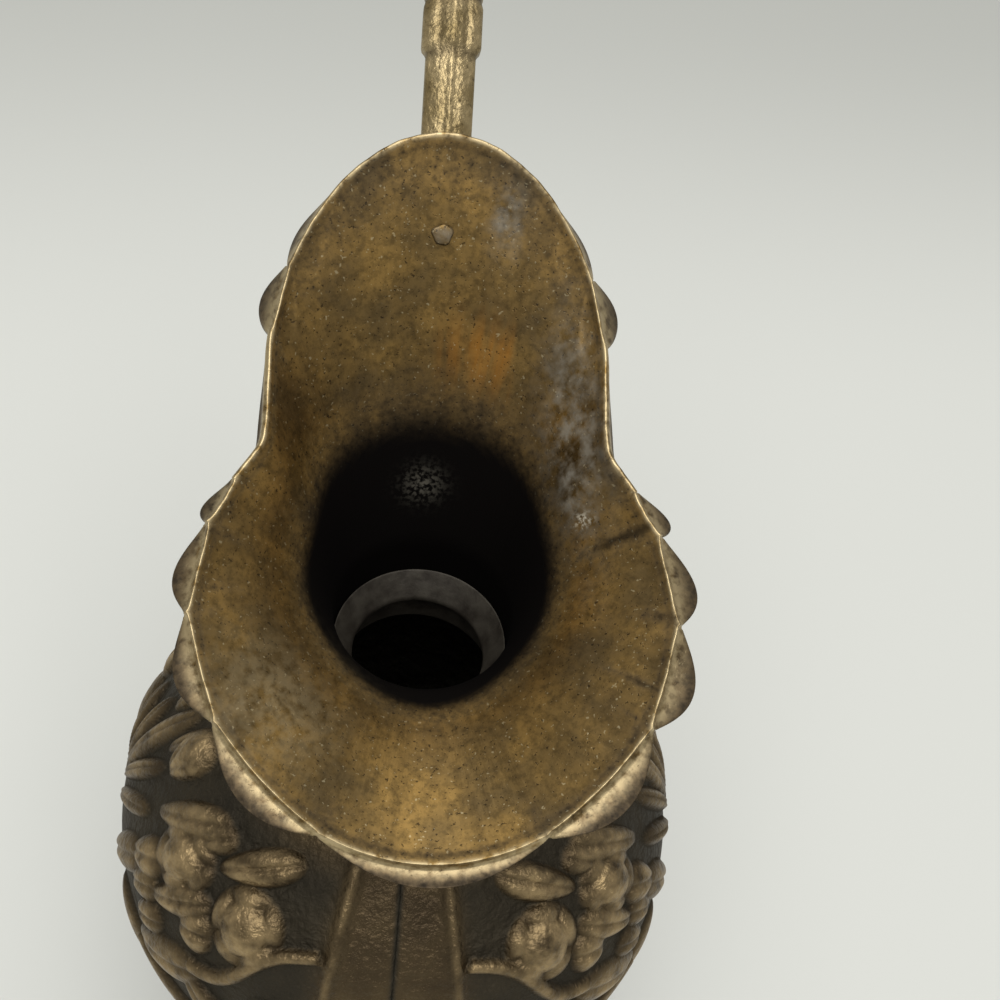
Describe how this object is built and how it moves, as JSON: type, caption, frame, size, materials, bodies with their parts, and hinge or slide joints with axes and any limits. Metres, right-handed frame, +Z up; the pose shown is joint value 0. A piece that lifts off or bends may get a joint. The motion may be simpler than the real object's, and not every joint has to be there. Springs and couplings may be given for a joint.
{
  "type": "brass ewer",
  "caption": "Tall brass ewer with a lobed helmet mouth, an embossed body soldered up from halves, a cast scroll handle and a spun foot, for pouring or display.",
  "frame": {"origin": "on the table, under the middle of the whole ewer's bounding box, handle included", "axes": "+Z up along the body's axis, -Y the way the lip points, +Y the handle's side, +X to the right seen from the lip"},
  "size_m": [0.1112, 0.1564, 0.2555],
  "materials": {
    "worn_brass": "brushed sheet with brown patina and a bright worn rim",
    "bronzed_brass": "embossed sheet, darkened brown in its hollows",
    "cast_brass": "cast, rubbed pale, with a fine grain",
    "greyed_brass": "dull, with grey dust and lime",
    "dull_iron": "plain iron hardware, dull"
  },
  "bodies": {
    "root": {"mouth": "worn_brass", "neck_collar": "greyed_brass", "neck_band": "bronzed_brass", "body_left": "bronzed_brass", "body_right": "bronzed_brass", "handle": "cast_brass", "handle_rivet": "cast_brass", "stem_knop": "bronzed_brass", "foot": "bronzed_brass", "tie_stud": "dull_iron", "upper_washer": "dull_iron", "upper_nut": "dull_iron", "lower_washer": "dull_iron", "lower_nut": "dull_iron"}
  },
  "joints": []
}
